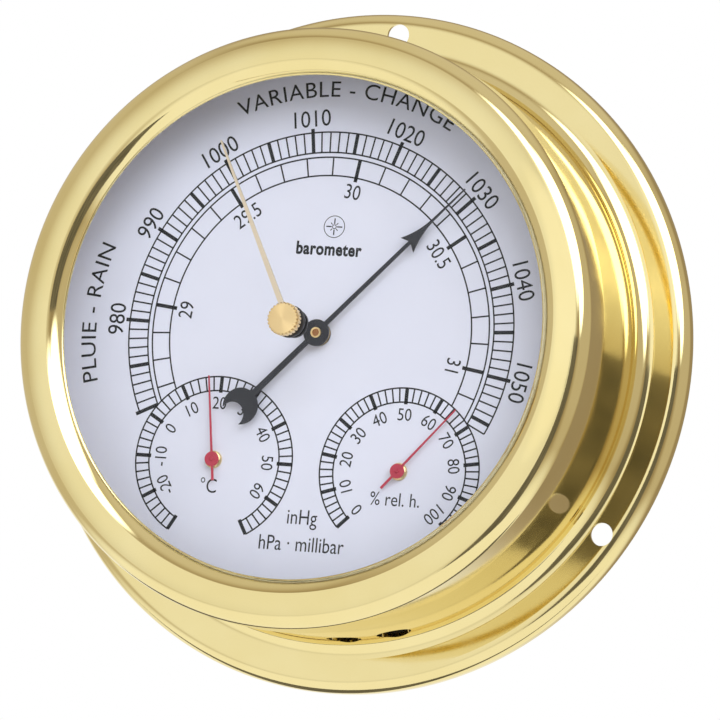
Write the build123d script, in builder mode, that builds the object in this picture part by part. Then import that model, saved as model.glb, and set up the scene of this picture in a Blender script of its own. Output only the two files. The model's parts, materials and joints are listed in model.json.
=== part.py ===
from build123d import *
import os
from math import acos, cos, degrees, pi, radians, sin, sqrt, tan

# Wall aneroid barometer with a thermometer and a hygrometer on the same dial.
#
# Frame: the wall plane is XZ at y = 0, +Z points to 12 o'clock and the dial faces -Y.
# A height off the wall is written h, so that y = -h. Lengths are in millimetres.

os.makedirs("parts", exist_ok=True)

# ---------------------------------------------------------------- driving dimensions
SHEET = 0.8                     # brass sheet of case and bezel

FLANGE_R = 75.0                 # outer radius of the wall flange
FLANGE_H = 4.4                  # height of the flange's face
RIM_R = 3.3                     # rounding of the flange's outer edge
HOLE_PCD = 140.0                # three wall screws
HOLE_R = 2.5
HOLE_TURN = 1.5                 # the drum sits this far round, clockwise, from the dial's 12 o'clock
NECK_R = 64.0                   # outer radius of the drum
NECK_TOP = 36.5
COVE_R = 3.8                    # sweep from the drum into the flange
NECK_IN = NECK_R - SHEET
VENT_R = 3.8                    # vent holes low in the drum
VENT_H = 10.6
VENT_ANGLES = (5.2, 15.5)       # degrees from 6 o'clock towards 3 o'clock

BEZEL_R = 64.8
BEZEL_REAR = 31.0
SHOULDER_H = 40.2               # where the bezel's straight side ends
SHOULDER = (63.9, 41.95)        # (radius, height) on the rounding of the shoulder
CREASE = (62.0, 43.05)          # the crease between the shoulder and the front
CREST = (57.5, 43.75)           # crest of the bezel
LIP = (54.3, 41.2)              # inner lip round the opening

GLASS_R = 61.6
GLASS_TOP = 47.5                # crown of the domed glass
GLASS_T = 2.0
DOME_R = 205.0                  # outer spherical radius of the glass

DIAL_H = 29.2                   # front face of the dial
DIAL_T = 0.8
DIAL_R = 62.9

DEG_PER_HPA = 2.7               # the pressure scale, with 1013 hPa at 12 o'clock
HPA_AT_TOP = 1013.0
HPA_SHOWN = 1028.9
SET_ANGLE = -27.1               # reference hand, degrees clockwise from 12 o'clock

SUB_X = 21.25                   # centres of the two small dials
SUB_Z = -28.56
DEG_PER_C = 3.0                 # thermometer, 20 degrees C at 12 o'clock
C_SHOWN = 17.2
DEG_PER_RH = 2.7                # hygrometer, 50 % at 12 o'clock
RH_SHOWN = 64.9

MODULE = 0.3                    # teeth of pinion and sector
PINION_TEETH = 12
SECTOR_TEETH = 120              # of a full circle
SECTOR_AT = 135.0               # direction of the sector's arbor, degrees from +X towards +Z
PRESSURE_ANGLE = radians(20)
ADDENDUM = 0.8                  # in modules
DEDENDUM = 1.2
TOOTH_THICKNESS = 0.84          # of half the pitch, which leaves the backlash
RUNNING = 0.05                  # radial clearance of the running fits

PIN_R = 2.5                     # sector axis to link pin
ROCKER_Z = -9.0                 # axis of the rocking shaft
ROCKER_H = 12.5
LINK_H = 20.0                   # mid-height of the link

PLATE_R = 26.5                  # movement plates
BASE_H = 3.0
BASE_T = 1.5
BRIDGE_H = 22.0
BRIDGE_T = 1.2
PILLAR_AT = (0.0, 112.0, 236.0)
FOOT_AT = (60.0, 180.0, 300.0)
POST_CIRCLE = 23.0              # radius on which pillars and feet stand

LUG_TURN = -4.0                 # half of a lug's 8 degrees, measured the way a revolve turns
BRACKET_X = 13.5                # rocking shaft's brackets, either side
CAPSULE_R = 13.5
CAPSULE_MID = 8.2               # height of the capsule's seam
CAPSULE_T = 3.6

COVER_R = 66.0
COVER_T = 1.0
COVER_SCREW_R = 61.0            # radius of the circle of the cover's screws
COVER_SCREW_AT = (45.0, 135.0, 225.0, 315.0)
TRIM_Z = -20.5                  # adjusting screw below the capsule


# ---------------------------------------------------------------- helpers
def section_plane(x=0.0, z=0.0):
    """A plane through an axis square to the dial, with coordinates (radius, h)."""
    return Plane(origin=(x, 0, z), x_dir=(1, 0, 0), z_dir=(0, 0, -1))


def face_plane(h, x=0.0, z=0.0, turn=0.0):
    """A plane parallel to the dial at height h, facing the viewer, turned clockwise."""
    a = radians(turn)
    return Plane(origin=(x, -h, z), x_dir=(cos(a), 0, -sin(a)), z_dir=(0, -1, 0))


def on_circle(radius, angle):
    """A point (x, z) with the angle in degrees from +X towards +Z."""
    return (radius * cos(radians(angle)), radius * sin(radians(angle)))


def save(part, name):
    part.label = name
    export_step(part, "parts/" + name + ".step")


def turned(points, x=0.0, z=0.0):
    """A turned piece from a closed outline of (radius, h) points."""
    with BuildPart() as piece:
        with BuildSketch(section_plane(x, z)):
            with BuildLine():
                Polyline(*points, close=True)
            make_face()
        revolve(axis=Axis((x, 0, z), (0, 1, 0)))
    return piece.part


def rod(h0, h1, radius, x=0.0, z=0.0):
    """A round bar square to the dial, from height h0 to h1."""
    with BuildPart() as piece:
        with BuildSketch(face_plane(h0, x, z)):
            Circle(radius)
        extrude(amount=h1 - h0)
    return piece.part


def plate(sketch, h0, h1, x=0.0, z=0.0, turn=0.0):
    """A flat piece of a sketch's outline, parallel to the dial, from height h0 to h1."""
    with BuildPart() as piece:
        with BuildSketch(face_plane(h0, x, z, turn)):
            add(sketch)
        extrude(amount=h1 - h0)
    return piece.part


def block(x0, x1, z0, z1, h0, h1):
    """A rectangular block between two corners."""
    with BuildPart() as piece:
        with BuildSketch(face_plane(h0)):
            with Locations(((x0 + x1) / 2, (z0 + z1) / 2)):
                Rectangle(x1 - x0, z1 - z0)
        extrude(amount=h1 - h0)
    return piece.part


def cross_rod(x0, x1, radius, z, h):
    """A round bar along X."""
    with BuildPart() as piece:
        with BuildSketch(Plane(origin=(x0, -h, z), x_dir=(0, 1, 0), z_dir=(1, 0, 0))):
            Circle(radius)
        extrude(amount=x1 - x0)
    return piece.part


def countersink(x, z, throat):
    """The conical space for a screw head in the back cover, with its clearance hole."""
    return turned([(0, 0), (2.6, 0), (throat, COVER_T - 0.05), (throat, COVER_T), (0, COVER_T)], x, z)


def countersunk_screw(x, z, shank, tip_h):
    """A slotted countersunk screw, its head flush in the back cover."""
    with BuildPart() as screw:
        add(turned([(0, 0.08), (2.45, 0.08), (shank, 0.95), (shank, tip_h), (0, tip_h)], x, z))
        with BuildSketch(face_plane(0, x, z, 30)):
            Rectangle(6, 0.6)
        extrude(amount=0.45, mode=Mode.SUBTRACT)
    return screw.part


def cheese_screw(x, z, under_head, tip_h, head_r=1.7, shank=0.95):
    """A slotted cheese-head screw; the head lies on the far side of under_head from the tip."""
    away = 1.0 if under_head > tip_h else -1.0
    top = under_head + away
    with BuildPart() as screw:
        add(turned([(0, tip_h), (shank, tip_h), (shank, under_head), (head_r, under_head), (head_r, top),
                    (0, top)], x, z))
        with BuildSketch(face_plane(top - 0.2, x, z, 20)):
            Rectangle(5, 0.5)
        extrude(amount=0.4, both=True, mode=Mode.SUBTRACT)
    return screw.part


def dome_height(radius, sphere, crown):
    """Height of a sphere's surface at a radius from its axis."""
    return crown - sphere + sqrt(sphere ** 2 - radius ** 2)


def involute(angle):
    return tan(angle) - angle


def tooth(teeth, at):
    """One involute tooth of a full circle of teeth, centred on the direction at, in degrees."""
    pitch_r = MODULE * teeth / 2
    base_r = pitch_r * cos(PRESSURE_ANGLE)
    half_pitch = pi / (2 * teeth) * TOOTH_THICKNESS
    left = []
    right = []
    for i in range(5):
        r = pitch_r + MODULE * (ADDENDUM * i / 4 - DEDENDUM * (4 - i) / 4)
        flank = involute(acos(min(1, base_r / r)))
        half = degrees(half_pitch + involute(PRESSURE_ANGLE) - flank)
        left.append(on_circle(r, at + half))
        right.append(on_circle(r, at - half))
    with BuildSketch() as shape:
        with BuildLine():
            Polyline(*left, *reversed(right), close=True)
        make_face()
    return shape.sketch


def spiral_strip(r0, r1, turns, thick, h0, h1, x=0.0, z=0.0, start=0.0):
    """A flat spiral spring: a strip on edge, wound from radius r0 to r1."""
    steps = int(turns * 14)

    def edge(offset):
        points = []
        for i in range(steps + 1):
            part_way = i / steps
            r = r0 + (r1 - r0) * part_way + offset
            points.append(on_circle(r, start + 360 * turns * part_way))
        return points

    inner = edge(-thick / 2)
    outer = edge(thick / 2)
    with BuildSketch() as strip:
        with BuildLine():
            Spline(*inner)
            Line(inner[-1], outer[-1])
            Spline(*outer)
            Line(inner[0], outer[0])
        make_face()
    return plate(strip.sketch, h0, h1, x, z)


# ---------------------------------------------------------------- case
def drum_outline(t):
    """The drum and flange's outline, inset by t, filled in to the axis."""
    cove_x = NECK_R + COVE_R
    cove_h = FLANGE_H + COVE_R
    rim_x = FLANGE_R - RIM_R
    rim_h = FLANGE_H - RIM_R
    with BuildSketch() as outline:
        with BuildLine():
            Line((0, 0), (FLANGE_R - t, 0))
            Line((FLANGE_R - t, 0), (FLANGE_R - t, rim_h))
            CenterArc((rim_x, rim_h), RIM_R - t, 0, 90)
            Line((rim_x, FLANGE_H - t), (cove_x, FLANGE_H - t))
            CenterArc((cove_x, cove_h), COVE_R + t, 180, 90)
            Line((NECK_R - t, cove_h), (NECK_R - t, NECK_TOP))
            Line((NECK_R - t, NECK_TOP), (0, NECK_TOP))
            Line((0, NECK_TOP), (0, 0))
        make_face()
    return outline.sketch


with BuildPart() as case_body:
    with BuildSketch(section_plane()):
        add(drum_outline(0))
    revolve(axis=Axis.Y)
    with BuildSketch(section_plane()):
        add(drum_outline(SHEET))
    revolve(axis=Axis.Y, mode=Mode.SUBTRACT)
    with BuildSketch(face_plane(0)):
        with PolarLocations(HOLE_PCD / 2, 3, start_angle=90 - HOLE_TURN):
            Circle(HOLE_R)
    extrude(amount=FLANGE_H + 1, mode=Mode.SUBTRACT)
    for angle in VENT_ANGLES:
        outward = (sin(radians(angle)), 0, -cos(radians(angle)))
        with BuildSketch(Plane(origin=(0, -VENT_H, 0), x_dir=(0, 1, 0), z_dir=outward)):
            Circle(VENT_R)
        extrude(amount=NECK_R + 5, mode=Mode.SUBTRACT)
save(case_body.part, "case_body")

with BuildPart() as bezel:
    side_in = NECK_R + RUNNING
    lip_x, lip_h = LIP
    lip_top = (lip_x + 0.35, lip_h + 0.5)
    lip_under = (lip_x + 0.5, lip_h - 0.4)
    with BuildSketch(section_plane()):
        with BuildLine():
            Polyline((side_in, 39.6), (side_in, BEZEL_REAR), (BEZEL_R - 0.3, BEZEL_REAR),
                     (BEZEL_R, BEZEL_REAR + 0.3), (BEZEL_R, SHOULDER_H))
            ThreePointArc((BEZEL_R, SHOULDER_H), SHOULDER, CREASE)
            ThreePointArc(CREASE, (59.8, 43.5), CREST)
            ThreePointArc(CREST, (55.95, 42.95), lip_top)
            ThreePointArc(lip_top, LIP, lip_under)
            Line(lip_under, (56.6, 42.25))
            ThreePointArc((56.6, 42.25), (57.1, 42.65), (57.7, 42.85))
            ThreePointArc((57.7, 42.85), (59.8, 42.65), (61.7, 42.2))
            ThreePointArc((61.7, 42.2), (63.2, 41.2), (side_in, 39.6))
        make_face()
    revolve(axis=Axis.Y)
save(bezel.part, "bezel")

with BuildPart() as glass:
    hole_r = 2.25
    crown_in = GLASS_TOP - GLASS_T
    dome_in = DOME_R - GLASS_T
    hole_top = (hole_r, dome_height(hole_r, DOME_R, GLASS_TOP))
    hole_low = (hole_r, dome_height(hole_r, dome_in, crown_in))
    rim_top = (GLASS_R, dome_height(GLASS_R, DOME_R, GLASS_TOP))
    rim_low = (GLASS_R, dome_height(GLASS_R, dome_in, crown_in))
    with BuildSketch(section_plane()):
        with BuildLine():
            Line(hole_low, hole_top)
            ThreePointArc(hole_top, (GLASS_R / 2, dome_height(GLASS_R / 2, DOME_R, GLASS_TOP)), rim_top)
            Line(rim_top, rim_low)
            ThreePointArc(rim_low, (GLASS_R / 2, dome_height(GLASS_R / 2, dome_in, crown_in)), hole_low)
        make_face()
    revolve(axis=Axis.Y)
save(glass.part, "glass")

with BuildPart() as glass_gasket:
    low_in = dome_height(55.3, DOME_R, GLASS_TOP) + 0.05
    low_out = dome_height(61.2, DOME_R, GLASS_TOP) + 0.1
    add(turned([(55.3, low_in), (61.2, low_out), (61.2, 42.0), (59.8, 42.45), (57.7, 42.65), (56.4, 41.9),
                (55.3, 40.9)]))
save(glass_gasket.part, "glass_gasket")

with BuildPart() as glass_retaining_ring:
    add(turned([(58.0, 34.9), (63.1, 34.9), (63.1, 35.8), (58.0, 35.8)]))
save(glass_retaining_ring.part, "glass_retaining_ring")

with BuildPart() as dial_spacer:
    add(turned([(62.2, DIAL_H), (63.1, DIAL_H), (63.1, 34.9), (62.2, 34.9)]))
save(dial_spacer.part, "dial_spacer")

DIAL_BACK = DIAL_H - DIAL_T
with BuildPart() as dial_plate:
    add(rod(DIAL_BACK, DIAL_H, DIAL_R))
    add(rod(DIAL_BACK, DIAL_H, 2.6), mode=Mode.SUBTRACT)
    for side in (-1, 1):
        add(rod(DIAL_BACK, DIAL_H, 1.5, side * SUB_X, SUB_Z), mode=Mode.SUBTRACT)
save(dial_plate.part, "dial_plate")

with BuildPart() as dial_seat_ring:
    shelf_h = DIAL_BACK - 1.2
    skirt_h = DIAL_BACK - 6.0
    add(turned([(58.5, shelf_h), (62.2, shelf_h), (62.2, skirt_h), (NECK_IN, skirt_h), (NECK_IN, DIAL_BACK),
                (58.5, DIAL_BACK)]))
save(dial_seat_ring.part, "dial_seat_ring")


def cover_lug(angle):
    """A lug inside the drum that takes one screw of the back cover."""
    with BuildPart() as lug:
        with BuildSketch(section_plane()):
            with BuildLine():
                Polyline((58.6, COVER_T), (62.6, COVER_T), (NECK_IN, 8.2), (NECK_IN, 13), (62.2, 13),
                         (58.6, 7), close=True)
            make_face()
        revolve(axis=Axis.Y, revolution_arc=8)
    return lug.part.rotate(Axis.Y, LUG_TURN - angle)


with BuildPart() as cover_lugs:
    for angle in COVER_SCREW_AT:
        add(cover_lug(angle))
        add(rod(COVER_T, 5.5, 1.25, *on_circle(COVER_SCREW_R, angle)), mode=Mode.SUBTRACT)
save(cover_lugs.part, "cover_lugs")

with BuildPart() as back_cover:
    add(rod(0, COVER_T, COVER_R))
    for angle in COVER_SCREW_AT:
        add(countersink(*on_circle(COVER_SCREW_R, angle), 1.4), mode=Mode.SUBTRACT)
    for angle in FOOT_AT:
        add(countersink(*on_circle(POST_CIRCLE, angle), 1.4), mode=Mode.SUBTRACT)
    add(rod(0, COVER_T, 3.2, 0, TRIM_Z), mode=Mode.SUBTRACT)
save(back_cover.part, "back_cover")

with BuildPart() as back_cover_screws:
    for angle in COVER_SCREW_AT:
        add(countersunk_screw(*on_circle(COVER_SCREW_R, angle), 1.2, 5.0))
save(back_cover_screws.part, "back_cover_screws")

# ---------------------------------------------------------------- reference hand
BUSH_TOP = 48.4
BUSH_LOW = 44.5
HAND_H = 48.6
HAND_T = 0.45
HAND_TOP = HAND_H + HAND_T
KNOB_H = 50.0
KNOB_TOP = 52.3
KNOB_R = 3.55
NOTCHES = 26

with BuildPart() as glass_bush:
    bore = 1.0 + RUNNING
    add(turned([(bore, BUSH_LOW), (3.1, BUSH_LOW), (3.1, 45.4), (2.2, 45.4), (2.2, 47.52), (3.5, 47.52),
                (3.5, BUSH_TOP - 0.2), (3.3, BUSH_TOP), (bore, BUSH_TOP)]))
save(glass_bush.part, "glass_bush")

with BuildPart() as set_shaft:
    add(turned([(0, 43.4), (1.5, 43.4), (1.9, 43.7), (1.9, 44.1), (1.0, 44.1), (1.0, 51.0), (0, 51.0)]))
save(set_shaft.part, "set_shaft")

with BuildPart() as set_spring_washer:
    add(turned([(1.0, 44.1), (1.9, 44.1), (2.6, 44.3), (2.6, 44.45), (1.9, 44.25), (1.0, 44.25)]))
save(set_spring_washer.part, "set_spring_washer")

with BuildPart() as set_hand:
    with BuildSketch(face_plane(HAND_H, turn=SET_ANGLE)):
        Circle(2.3)
        with BuildLine():
            Polyline((-0.62, 0), (-0.55, 12), (-0.18, 42.4), (0, 42.7), (0.18, 42.4), (0.55, 12), (0.62, 0),
                     close=True)
        make_face()
        Circle(1.0, mode=Mode.SUBTRACT)
    extrude(amount=HAND_T)
save(set_hand.part, "set_hand")

with BuildPart() as set_knob:
    add(turned([(1.0, HAND_TOP), (2.6, HAND_TOP), (2.6, KNOB_H), (3.3, KNOB_H), (KNOB_R, KNOB_H + 0.25),
                (KNOB_R, 51.85), (3.15, KNOB_TOP - 0.1), (0, KNOB_TOP), (0, 51.0), (1.0, 51.0)]))
    with BuildSketch(face_plane(KNOB_H)):
        with PolarLocations(KNOB_R + 0.05, NOTCHES):
            Circle(0.3)
    extrude(amount=3, mode=Mode.SUBTRACT)
save(set_knob.part, "set_knob")

# ---------------------------------------------------------------- pressure pointer
POINTER_H = 30.95
POINTER_T = 0.4
POINTER_TOP = POINTER_H + POINTER_T
HUB_TOP = POINTER_TOP + 0.35
POINTER_TURN = (HPA_SHOWN - HPA_AT_TOP) * DEG_PER_HPA

with BuildPart() as main_pointer:
    with BuildSketch(face_plane(POINTER_H, turn=POINTER_TURN)):
        with BuildLine():
            Polyline((-0.52, 0), (-0.36, 29.5), (0.36, 29.5), (0.52, 0), close=True)
        make_face()
        with BuildLine():
            Line((0, 28.3), (-2.15, 27.3))
            ThreePointArc((-2.15, 27.3), (-0.95, 30.4), (-0.24, 34.9))
            Line((-0.24, 34.9), (-0.1, 44.7))
            Line((-0.1, 44.7), (0.1, 44.7))
            Line((0.1, 44.7), (0.24, 34.9))
            ThreePointArc((0.24, 34.9), (0.95, 30.4), (2.15, 27.3))
            Line((2.15, 27.3), (0, 28.3))
        make_face()
        with BuildLine():
            Polyline((-0.55, 0), (-0.72, -20), (0.72, -20), (0.55, 0), close=True)
        make_face()
        with Locations((0, -23.0)):
            Circle(4.0)
        with Locations((0, -25.6)):
            Circle(2.74, mode=Mode.SUBTRACT)
        Circle(2.9)
        Circle(1.0, mode=Mode.SUBTRACT)
    extrude(amount=POINTER_T)
save(main_pointer.part, "main_pointer")

with BuildPart() as pointer_hub:
    add(turned([(0.8, 29.9), (2.6, 29.9), (2.6, POINTER_H), (1.0, POINTER_H), (1.0, POINTER_TOP),
                (1.15, POINTER_TOP), (1.15, HUB_TOP), (0.8, HUB_TOP)]))
save(pointer_hub.part, "pointer_hub")

with BuildPart() as pointer_arbor:
    arbor_top = HUB_TOP - 0.25
    add(turned([(0, 14.7), (0.35, 14.7), (0.35, 16.1), (0.8, 16.1), (0.8, arbor_top), (0, arbor_top)]))
save(pointer_arbor.part, "pointer_arbor")

# ---------------------------------------------------------------- movement
PITCH_PINION = MODULE * PINION_TEETH / 2
PITCH_SECTOR = MODULE * SECTOR_TEETH / 2
SECTOR_X, SECTOR_Z = on_circle(PITCH_PINION + PITCH_SECTOR, SECTOR_AT)
MESH_AT = SECTOR_AT - 180
LINK_X = SECTOR_X + PIN_R
BASE_TOP = BASE_H + BASE_T
BRIDGE_TOP = BRIDGE_H + BRIDGE_T
FIRST_TOOTH = -4
LAST_TOOTH = 7

with BuildPart() as pinion:
    with BuildSketch(face_plane(17.8)):
        Circle(PITCH_PINION - MODULE * DEDENDUM + 0.01)
        for i in range(PINION_TEETH):
            add(tooth(PINION_TEETH, SECTOR_AT + (i + 0.5) * 360 / PINION_TEETH))
        Circle(0.8, mode=Mode.SUBTRACT)
    extrude(amount=1.4)
save(pinion.part, "pinion")

with BuildPart() as hairspring_collet:
    add(turned([(0.8, 16.3), (1.5, 16.3), (1.5, 17.3), (0.8, 17.3)]))
save(hairspring_collet.part, "hairspring_collet")

with BuildPart() as hairspring:
    add(spiral_strip(1.75, 4.75, 5, 0.15, 16.5, 17.1, start=-45))
save(hairspring.part, "hairspring")

with BuildPart() as hairspring_stud:
    add(rod(16.3, BRIDGE_TOP, 0.45, *on_circle(5.3, -45)))
save(hairspring_stud.part, "hairspring_stud")

with BuildPart() as sector:
    root_r = PITCH_SECTOR - MODULE * DEDENDUM + 0.02
    tooth_step = 360 / SECTOR_TEETH
    low = MESH_AT + (FIRST_TOOTH - 0.7) * tooth_step
    high = MESH_AT + (LAST_TOOTH + 0.7) * tooth_step
    with BuildSketch(face_plane(18.0, SECTOR_X, SECTOR_Z)):
        with BuildLine():
            Line(on_circle(15.2, low), on_circle(root_r, low))
            CenterArc((0, 0), root_r, low, high - low)
            Line(on_circle(root_r, high), on_circle(15.2, high))
            CenterArc((0, 0), 15.2, low, high - low)
        make_face()
        for i in range(FIRST_TOOTH, LAST_TOOTH + 1):
            add(tooth(SECTOR_TEETH, MESH_AT + i * tooth_step))
        for spoke_at in (low + 3, high - 3):
            with BuildLine():
                Polyline(on_circle(3, spoke_at - 22), on_circle(15.6, spoke_at - 3.6),
                         on_circle(15.6, spoke_at + 3.6), on_circle(3, spoke_at + 22), close=True)
            make_face()
        Circle(3.6)
    extrude(amount=1.0)
    add(rod(16.4, 18.0, 2.0, SECTOR_X, SECTOR_Z))
    add(rod(16.4, 19.0, 0.8, SECTOR_X, SECTOR_Z), mode=Mode.SUBTRACT)
    add(rod(19.0, 20.9, 0.5, LINK_X, SECTOR_Z))
save(sector.part, "sector")

with BuildPart() as sector_arbor:
    low_end = BASE_H + 0.2
    shoulder = BASE_TOP + 0.2
    add(turned([(0, low_end), (0.5, low_end), (0.5, shoulder), (0.8, shoulder), (0.8, BRIDGE_H - 0.2),
                (0.5, BRIDGE_H - 0.2), (0.5, BRIDGE_TOP - 0.2), (0, BRIDGE_TOP - 0.2)], SECTOR_X, SECTOR_Z))
save(sector_arbor.part, "sector_arbor")

with BuildPart() as link:
    with BuildSketch(face_plane(LINK_H - 0.4, LINK_X)):
        with Locations((0, (SECTOR_Z + ROCKER_Z) / 2)):
            Rectangle(1.2, SECTOR_Z - ROCKER_Z)
        with Locations((0, SECTOR_Z)):
            Circle(1.2)
        with Locations((0, ROCKER_Z)):
            Circle(1.6)
        with Locations((0, SECTOR_Z)):
            Circle(0.5 + RUNNING, mode=Mode.SUBTRACT)
        with Locations((0, ROCKER_Z)):
            Circle(0.85, mode=Mode.SUBTRACT)
    extrude(amount=0.8)
save(link.part, "link")

with BuildPart() as rocker_shaft:
    add(cross_rod(-15.2, 15.2, 1.0, ROCKER_Z, ROCKER_H))
save(rocker_shaft.part, "rocker_shaft")

with BuildPart() as rocker_arm:
    add(cross_rod(-1.6, 1.6, 1.6, ROCKER_Z, ROCKER_H))
    add(block(-1.3, 1.3, ROCKER_Z, 1.6, ROCKER_H - 0.5, ROCKER_H + 0.5))
    add(cross_rod(-1.6, 1.6, 1.0, ROCKER_Z, ROCKER_H), mode=Mode.SUBTRACT)
save(rocker_arm.part, "rocker_arm")

with BuildPart() as rocker_tail:
    add(cross_rod(LINK_X - 0.8, LINK_X + 0.8, 2.2, ROCKER_Z, ROCKER_H))
    add(block(LINK_X - 0.8, LINK_X + 0.8, ROCKER_Z - 0.8, ROCKER_Z + 0.8, ROCKER_H, 19.1))
    add(cross_rod(LINK_X - 0.8, LINK_X + 0.8, 1.0, ROCKER_Z, ROCKER_H), mode=Mode.SUBTRACT)
    add(rod(19.1, 20.9, 0.45, LINK_X, ROCKER_Z))
save(rocker_tail.part, "rocker_tail")

BRACKET_SCREW_X = BRACKET_X + 3.1
with BuildPart() as rocker_brackets:
    for side in (-1, 1):
        inner = BRACKET_X - 0.75
        outer = BRACKET_X + 0.75
        x0, x1 = sorted((side * inner, side * outer))
        f0, f1 = sorted((side * inner, side * (BRACKET_X + 5)))
        add(block(x0, x1, ROCKER_Z - 2.5, ROCKER_Z + 2.5, BASE_TOP, ROCKER_H + 2.2))
        add(block(f0, f1, ROCKER_Z - 2.5, ROCKER_Z + 2.5, BASE_TOP, BASE_TOP + 1.2))
        add(cross_rod(x0, x1, 1.0 + RUNNING, ROCKER_Z, ROCKER_H), mode=Mode.SUBTRACT)
        add(rod(BASE_TOP, BASE_TOP + 1.2, 1.0, side * BRACKET_SCREW_X, ROCKER_Z), mode=Mode.SUBTRACT)
save(rocker_brackets.part, "rocker_brackets")

with BuildPart() as bracket_screws:
    for side in (-1, 1):
        add(cheese_screw(side * BRACKET_SCREW_X, ROCKER_Z, BASE_TOP + 1.2, BASE_H + 0.2))
save(bracket_screws.part, "bracket_screws")


def capsule_shell(way):
    """One corrugated diaphragm; way is +1 for the one on the dial's side."""
    deep = CAPSULE_T / 2
    outline = [(CAPSULE_R, 0), (CAPSULE_R, 0.25), (12.2, 0.25), (10.9, deep), (9.7, deep - 0.6), (8.5, deep),
               (7.3, deep - 0.6), (6.1, deep), (0, deep), (0, deep - 0.3), (5.9, deep - 0.3),
               (7.2, deep - 0.9),
               (8.5, deep - 0.3), (9.7, deep - 0.9), (10.7, deep - 0.4), (11.9, 0)]
    return turned([(r, CAPSULE_MID + way * d) for r, d in outline])


with BuildPart() as capsule_lower:
    add(capsule_shell(-1))
save(capsule_lower.part, "capsule_lower")

with BuildPart() as capsule_upper:
    add(capsule_shell(1))
save(capsule_upper.part, "capsule_upper")

CAPSULE_TOP = CAPSULE_MID + CAPSULE_T / 2
CAPSULE_LOW = CAPSULE_MID - CAPSULE_T / 2
LEAF_TOP = BASE_TOP + 0.7
LEAF_SCREW_Z = 17.6
with BuildPart() as capsule_post:
    add(turned([(0, CAPSULE_TOP), (2.4, CAPSULE_TOP), (2.4, CAPSULE_TOP + 0.3), (0.9, CAPSULE_TOP + 0.4),
                (0.9, 11.65), (0.5, 11.82), (0, 11.85)]))
save(capsule_post.part, "capsule_post")

with BuildPart() as capsule_stud:
    add(turned([(0, LEAF_TOP), (3.0, LEAF_TOP), (3.0, CAPSULE_LOW - 0.3), (2.2, CAPSULE_LOW),
                (0, CAPSULE_LOW)]))
save(capsule_stud.part, "capsule_stud")

with BuildPart() as trim_leaf:
    add(block(-4.5, 4.5, TRIM_Z - 3, LEAF_SCREW_Z + 2.6, BASE_TOP, LEAF_TOP))
    add(rod(BASE_TOP, LEAF_TOP, 1.0, 0, LEAF_SCREW_Z), mode=Mode.SUBTRACT)
save(trim_leaf.part, "trim_leaf")

with BuildPart() as trim_leaf_screw:
    add(cheese_screw(0, LEAF_SCREW_Z, LEAF_TOP, BASE_H + 0.2))
save(trim_leaf_screw.part, "trim_leaf_screw")

with BuildPart() as adjusting_screw:
    tip = BASE_TOP - 0.05
    add(turned([(0, 0.3), (2.4, 0.3), (2.6, 0.5), (2.6, 1.6), (1.5, 1.6), (1.5, tip - 0.25), (1.2, tip),
                (0, tip)], 0, TRIM_Z))
    with BuildSketch(face_plane(0.2, 0, TRIM_Z, 15)):
        Rectangle(6, 0.7)
    extrude(amount=0.7, mode=Mode.SUBTRACT)
save(adjusting_screw.part, "adjusting_screw")

with BuildPart() as movement_base:
    add(rod(BASE_H, BASE_TOP, PLATE_R))
    for angle in FOOT_AT:
        add(rod(BASE_H, BASE_TOP, 1.2, *on_circle(POST_CIRCLE, angle)), mode=Mode.SUBTRACT)
    for x, z, r in ((SECTOR_X, SECTOR_Z, 0.5 + RUNNING), (0, TRIM_Z, 1.5 + RUNNING), (0, LEAF_SCREW_Z, 0.95),
                    (-BRACKET_SCREW_X, ROCKER_Z, 0.95), (BRACKET_SCREW_X, ROCKER_Z, 0.95)):
        add(rod(BASE_H, BASE_TOP, r, x, z), mode=Mode.SUBTRACT)
save(movement_base.part, "movement_base")

with BuildPart() as movement_feet:
    for angle in FOOT_AT:
        x, z = on_circle(POST_CIRCLE, angle)
        add(rod(COVER_T, BASE_H, 3.0, x, z))
        add(rod(COVER_T, BASE_H, 1.4, x, z), mode=Mode.SUBTRACT)
save(movement_feet.part, "movement_feet")

with BuildPart() as movement_screws:
    for angle in FOOT_AT:
        add(countersunk_screw(*on_circle(POST_CIRCLE, angle), 1.2, BASE_TOP))
save(movement_screws.part, "movement_screws")

with BuildPart() as movement_pillars:
    for angle in PILLAR_AT:
        x, z = on_circle(POST_CIRCLE, angle)
        add(rod(BASE_TOP, BRIDGE_H, 2.0, x, z))
        add(rod(BRIDGE_H - 3.5, BRIDGE_H, 0.95, x, z), mode=Mode.SUBTRACT)
save(movement_pillars.part, "movement_pillars")

COCK_SCREW_X = 11.5
with BuildPart() as movement_bridge:
    add(rod(BRIDGE_H, BRIDGE_TOP, PLATE_R))
    for angle in PILLAR_AT:
        add(rod(BRIDGE_H, BRIDGE_TOP, 0.95, *on_circle(POST_CIRCLE, angle)), mode=Mode.SUBTRACT)
    for angle in (60.0, 205.0, 300.0):
        add(rod(BRIDGE_H, BRIDGE_TOP, 5.5, *on_circle(15.5, angle)), mode=Mode.SUBTRACT)
    stud_x, stud_z = on_circle(5.3, -45)
    for x, z, r in ((0, 0, 2.0), (SECTOR_X, SECTOR_Z, 0.5 + RUNNING), (stud_x, stud_z, 0.45),
                    (COCK_SCREW_X, 0, 0.95)):
        add(rod(BRIDGE_H, BRIDGE_TOP, r, x, z), mode=Mode.SUBTRACT)
save(movement_bridge.part, "movement_bridge")

with BuildPart() as bridge_screws:
    for angle in PILLAR_AT:
        add(cheese_screw(*on_circle(POST_CIRCLE, angle), BRIDGE_TOP, BRIDGE_H - 3.2))
save(bridge_screws.part, "bridge_screws")

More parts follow.
